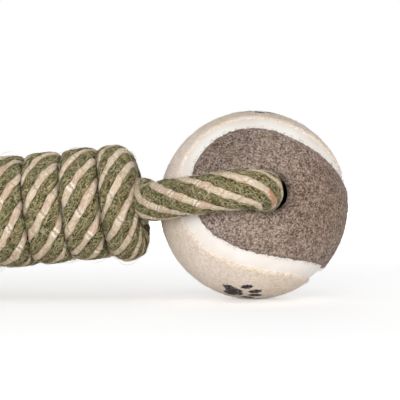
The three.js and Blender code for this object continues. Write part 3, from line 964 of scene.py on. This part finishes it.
def feltPanel(name, side, material, seed):
    bm = bmesh.new()
    bmesh.ops.create_icosphere(bm, subdivisions=7, radius=1)

    def measured():
        # each vertex's way from the ball's middle, the ways off the seam and off the mouth, and
        # how far it is inside the felt's edge at each
        directions = ontoUnit(np.array([vert.co for vert in bm.verts]))
        distance, across = seamDistance(directions)
        edge = seamEdge(directions, side) + felt["seamRagged"] * (
            wander(directions, 60, seed) + wander(directions, 190, seed + 1))
        aside, mouth = fromMouth(directions)
        rim = felt["mouth"] + felt["mouthRagged"] * wander(directions, 60, seed + 2)
        return directions, across * side, aside, distance * side - edge, mouth - rim

    directions, across, aside, pastSeam, pastMouth = measured()
    kept = (pastSeam > 0) & (pastMouth > 0)
    gone = [vert for vert, keep in zip(bm.verts, kept) if not keep]
    bmesh.ops.delete(bm, geom=gone, context="VERTS")
    for _ in range(3):
        weak = [vert for vert in bm.verts if len(vert.link_faces) < 2
                or sum(edge.is_boundary for edge in vert.link_edges) > 2]
        bmesh.ops.delete(bm, geom=weak, context="VERTS")
    directions, across, aside, pastSeam, pastMouth = measured()
    bounds = np.array([vert.is_boundary for vert in bm.verts])
    atSeam = bounds & (pastSeam < pastMouth)
    atMouth = bounds & ~atSeam
    for chosen, way, past in ((atSeam, across, pastSeam), (atMouth, ontoUnit(aside), pastMouth)):
        directions[chosen] -= way[chosen] * (past[chosen] / felt["radius"])[:, None]
    directions = ontoUnit(directions)
    height = felt["radius"] + felt["relief"] * (0.5 * wander(directions, 70, seed + 3)
                                                + 0.5 * wander(directions, 25, seed + 4))
    height += random.normal(0, felt["grain"], len(directions))
    # the felt is rounded at the seam and rolls in at the mouth
    for chosen, past, over, drop, power in (
            (atSeam, pastSeam, felt["edgeRound"], felt["edgeDrop"], 2),
            (atMouth, pastMouth, felt["mouthRoll"], felt["mouthSink"], 2.2)):
        inside = np.where(chosen, 0, np.maximum(past, 0))
        height -= drop * np.clip(1 - inside / over, 0, 1) ** power
    places = (ballCentre + directions * height[:, None]) * mm
    places[:, 2] = np.maximum(places[:, 2], 0)
    for vert, place in zip(bm.verts, places.tolist()):
        vert.co = place
    centre = Vector(ballCentre * mm)
    inner = bmesh.ops.extrude_face_region(bm, geom=bm.faces[:], use_keep_orig=True)["geom"]
    for vert in (part for part in inner if isinstance(part, bmesh.types.BMVert)):
        vert.co = centre + (vert.co - centre).normalized() * felt["inner"] * mm
    return smoothPiece(name, bm, material)


def feltHairs(name, side, count, seed, material):
    # short hairs that lie on the felt and stand over its edges
    source = np.random.default_rng(seed)
    ways = ontoUnit(source.normal(size=(count * felt["hairTries"], 3)))
    distance = seamDistance(ways)[0] * side - seamEdge(ways, side)
    gap = np.minimum(distance, fromMouth(ways)[1] - felt["mouth"])
    onEdge = np.flatnonzero((gap > 0) & (gap < felt["hairEdge"]))[:count // 3]
    rest = np.flatnonzero(gap > felt["hairEdge"])[:count - len(onEdge)]
    ways = ways[np.r_[onEdge, rest]]
    number, steps = len(ways), 4
    first = ontoUnit(np.cross(ways, source.normal(size=(number, 3))))
    second = np.cross(ways, first)
    bend = source.normal(0, felt["hairCurl"], (number, 1)) * np.linspace(-0.5, 0.5, steps)[None]
    stride = source.uniform(*felt["hairLength"], (number, 1)) / steps / felt["radius"]
    along, aside = np.cumsum(np.cos(bend) * stride, 1), np.cumsum(np.sin(bend) * stride, 1)
    arch = np.sin(np.linspace(0.1, 0.8, steps) * np.pi)[None]
    lift = source.uniform(*felt["hairLift"], (number, 1)) * arch
    places = ontoUnit(ways[:, None] + first[:, None] * along[..., None]
                      + second[:, None] * aside[..., None])
    places = ballCentre + places * (felt["radius"] - felt["hairRoot"] + lift)[..., None]
    places[..., 2] = np.maximum(places[..., 2], 2 * felt["hairThickness"])
    return hairPiece(name, places, felt["hairThickness"], np.zeros(number), [material])


def pawPlaces():
    # the two prints that the picture shows, and others spread over the felt that it doesn't
    found = [(unit(np.array(place) @ fromView), np.array(way) @ fromView)
             for place, way in paw["seen"]]
    count = 400
    k = np.arange(count) + 0.5
    z, turn = 1 - 2 * k / count, math.pi * (1 + 5 ** 0.5) * k
    spots = np.stack([np.sqrt(1 - z ** 2) * np.cos(turn), np.sqrt(1 - z ** 2) * np.sin(turn), z], 1)
    distance = -seamDistance(spots)[0] * frontSide
    holes = fromMouth(spots)[1]
    room = paw["clearOfEdges"]
    for spot, far, hole in sorted(zip(spots.tolist(), distance, holes), key=lambda row: -row[1]):
        spot = np.array(spot)
        apart = min(math.acos(np.clip(spot @ other, -1, 1)) for other, _ in found) * felt["radius"]
        clear = far > room and hole > room + felt["mouth"] and apart > paw["apart"]
        if clear and spot @ viewBack < -0.1:
            found.append((spot, random.normal(size=3)))
    return found


def addPawMap(piece):
    # every face is laid flat round its nearest print, millimetres
    mesh = piece.data

    def read(items, name, kind=int):
        values = np.zeros(len(items) * (1 if kind is int else 3), kind)
        items.foreach_get(name, values)
        return values if kind is int else ontoUnit(values.reshape(-1, 3) / mm - ballCentre)

    prints = pawPlaces()
    centres = read(mesh.polygons, "center", float)
    nearest = np.argmax(centres @ np.array([place for place, _ in prints]).T, axis=1)
    chosen = np.repeat(nearest, read(mesh.polygons, "loop_total"))
    places = read(mesh.vertices, "co", float)[read(mesh.loops, "vertex_index")]
    ups = np.array([unit(way - place * (way @ place)) for place, way in prints])
    sides = np.array([np.cross(up, place) for up, (place, _) in zip(ups, prints)])
    flat = np.stack([np.einsum("ij,ij->i", places, ways[chosen]) for ways in (sides, ups)], 1)
    flat = (flat * felt["radius"]).astype(np.float32)
    mesh.uv_layers.new(name="paw").data.foreach_set("uv", flat.ravel())


def seamBand(name, material):
    around, half = felt["bandSteps"], felt["band"]
    top, bottom = felt["bandMiddle"]
    profile = ([(-aside, radius) for aside, radius in half] + [(0, top)] + half[::-1]
               + [(0, bottom)])
    out, across = seamCurve(around)
    wider = 1 + nearPlaces(out, felt["seamWider"]) / felt["seamHalf"]
    places = []
    for row in range(around + 1):
        k = row % around
        for aside, radius in profile + profile[:1]:
            angle = aside / felt["radius"] * (wider[k] if aside * frontSide < 0 else 1)
            way = out[k] * math.cos(angle) + across[k] * math.sin(angle)
            places.append((ballCentre + radius * way) * mm)
    bm = gridOf(len(profile), around, places)
    bmesh.ops.remove_doubles(bm, verts=bm.verts, dist=1e-6)
    return smoothPiece(name, bm, material)


feltDarkPiece = feltPanel("felt_cover_dark", frontSide, darkFelt, 3)
feltLightPiece = feltPanel("felt_cover_light", -frontSide, lightFelt, 11)
addPawMap(feltLightPiece)
seamPiece = seamBand("seam_band", seamRubber)
darkHairs = feltHairs("felt_hairs_dark", frontSide, felt["hairs"]["dark"], 21, feltHairDark)
lightHairs = feltHairs("felt_hairs_light", -frontSide, felt["hairs"]["light"], 22, feltHairLight)
print("ball covered", len(feltDarkPiece.data.polygons), len(feltLightPiece.data.polygons))

for node in ("rubber_half_front", "rubber_half_back"):
    piece = frame["nodes"][node]
    if not piece.material_slots:
        piece.data.materials.append(darkRubber)
    for materialSlot in piece.material_slots:
        materialSlot.material = darkRubber

for piece in (feltDarkPiece, feltLightPiece, seamPiece, darkHairs, lightHairs):
    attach(piece, "ball")
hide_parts("felt_panel_dark")
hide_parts("felt_panel_light")
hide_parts("seam_strip")

for piece in (winding, gripFuzz):
    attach(piece, "grip_body")
for piece in (ballRope, ballFuzz):
    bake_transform(piece)
for piece in (handRope, handFuzz):
    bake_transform(piece)
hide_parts("ball_loop", "front_neck", "back_neck")
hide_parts("grip_winding")
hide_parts("hand_loop", "hand_neck_front", "hand_neck_back", "core_leg_front",
            "core_leg_back")

room = {
    "floor": 6.0, "floorShade": 0.9, "world": 0.42,
    "glow": [(0.25, 0.39), (0.7, 0.7)],  # distance and strength, seen by the camera only
    "lampAim": 0.6,  # as a share of the way to the ball
    # name, place, size, power
    "lamps": [("softKey", (0.3, -1.1, 0.55), 0.9, 0.7),
              ("softLow", (0.05, -1.0, 0.05), 0.8, 10.2),
              ("softFill", (-0.9, -0.8, 0.12), 0.8, 2.2),
              ("softSide", (0.85, -0.7, 0.06), 0.7, 4.4),
              ("softBack", (-0.2, 1.1, 0.12), 0.9, 6.0)],
}


def seenDirectly(lighting, seen, output):
    # one shader lights the room, another is what the camera sees, also through and in things
    tree = lighting.id_data
    path = put("LightPath", tree=tree).outputs
    direct = sums("ADD", path["Is Camera Ray"], path["Is Glossy Ray"], clamp=True)
    direct = sums("ADD", direct, path["Is Transmission Ray"], clamp=True)
    both = put("MixShader", direct, lighting.outputs[0], seen.outputs[0])
    feed(tree.nodes[output].inputs["Surface"], both.outputs[0])


def makeFloor():
    bm = bmesh.new()
    bmesh.ops.create_grid(bm, x_segments=1, y_segments=1, size=room["floor"])
    floor = link("floor", meshFrom("floor", bm))
    material = newFinish("paleFloor", 0.9, 0.1)
    painted(material, shadeOf(room["floorShade"]))
    far = vectors("LENGTH", objectPlace(material))
    glow = put("Emission", Strength=ramp(far, room["glow"]))
    seen = put("AddShader", shaderOf(material).outputs[0], glow.outputs[0])
    seenDirectly(shaderOf(material), seen, "Material Output")
    floor.data.materials.append(material)


def makeWorld():
    world = bpy.data.worlds.new("softRoom")
    bpy.context.scene.world = world
    world.use_nodes = True
    tree = world.node_tree
    soft, white = (put("Background", shadeOf(1), strength, tree=tree)
                   for strength in (room["world"], 1.0))
    seenDirectly(soft, white, "World Output")


makeFloor()
makeWorld()
for name, place, size, power in room["lamps"]:
    lamp = bpy.data.lights.new(name, "AREA")
    lamp.shape, lamp.size, lamp.energy = "DISK", size, power
    aimed(name, lamp, place, Vector(ballCentre * mm) * room["lampAim"] - Vector(place))
bpy.context.scene.view_settings.view_transform = "Standard"
print("room lit")
